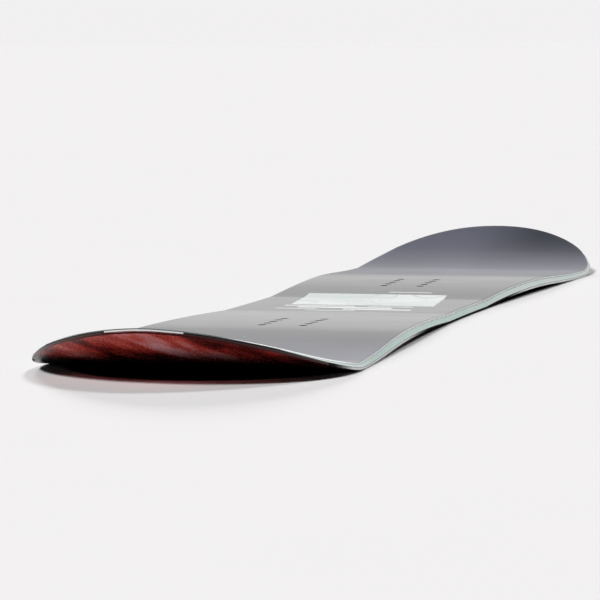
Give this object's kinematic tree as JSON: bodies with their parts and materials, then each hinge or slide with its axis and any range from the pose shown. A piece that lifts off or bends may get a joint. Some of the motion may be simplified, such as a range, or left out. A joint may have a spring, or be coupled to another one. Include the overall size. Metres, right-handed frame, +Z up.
{
  "type": "snowboard",
  "caption": "Snowboard without bindings: upturned tips, low arches under the feet, layered body with steel edges and threaded inserts for bindings.",
  "frame": {"origin": "on the floor, under the centre of the board's length and width", "axes": "+X along the board towards the nose, +Y to its left side, +Z up"},
  "size_m": [1.445, 0.285, 0.0491],
  "materials": {
    "topsheet": "satin clear coat over dark slate",
    "glass_laminate": "glass fibre in resin, translucent pale green",
    "core_wood": "planed poplar",
    "insert_wood": "planed beech",
    "sidewall": "pale mint, satin",
    "tip_spacer": "black, matt",
    "tip_guard": "white, satin",
    "edge_rubber": "matt black foil",
    "steel_edge": "ground",
    "insert": "turned stainless steel",
    "base": "waxed dark red"
  },
  "bodies": {
    "root": {"topsheet": "topsheet", "upper_glass": "glass_laminate", "lower_glass": "glass_laminate", "core_centre": "core_wood", "core_mid_left": "core_wood", "core_mid_right": "core_wood", "core_outer_left": "core_wood", "core_outer_right": "core_wood", "core_side_left": "core_wood", "core_side_right": "core_wood", "core_insert_left": "insert_wood", "core_insert_right": "insert_wood", "sidewall_left": "sidewall", "sidewall_right": "sidewall", "tip_spacer_nose": "tip_spacer", "tip_spacer_tail": "tip_spacer", "tip_guard_nose": "tip_guard", "tip_guard_tail": "tip_guard", "edge_rubber_left": "edge_rubber", "edge_rubber_right": "edge_rubber", "steel_edge_left": "steel_edge", "steel_edge_right": "steel_edge", "insert_nose_left_1": "insert", "insert_nose_left_2": "insert", "insert_nose_left_3": "insert", "insert_nose_left_4": "insert", "insert_nose_left_5": "insert", "insert_nose_right_1": "insert", "insert_nose_right_2": "insert", "insert_nose_right_3": "insert", "insert_nose_right_4": "insert", "insert_nose_right_5": "insert", "insert_tail_left_1": "insert", "insert_tail_left_2": "insert", "insert_tail_left_3": "insert", "insert_tail_left_4": "insert", "insert_tail_left_5": "insert", "insert_tail_right_1": "insert", "insert_tail_right_2": "insert", "insert_tail_right_3": "insert", "insert_tail_right_4": "insert", "insert_tail_right_5": "insert", "base_sheet": "base"}
  },
  "joints": []
}
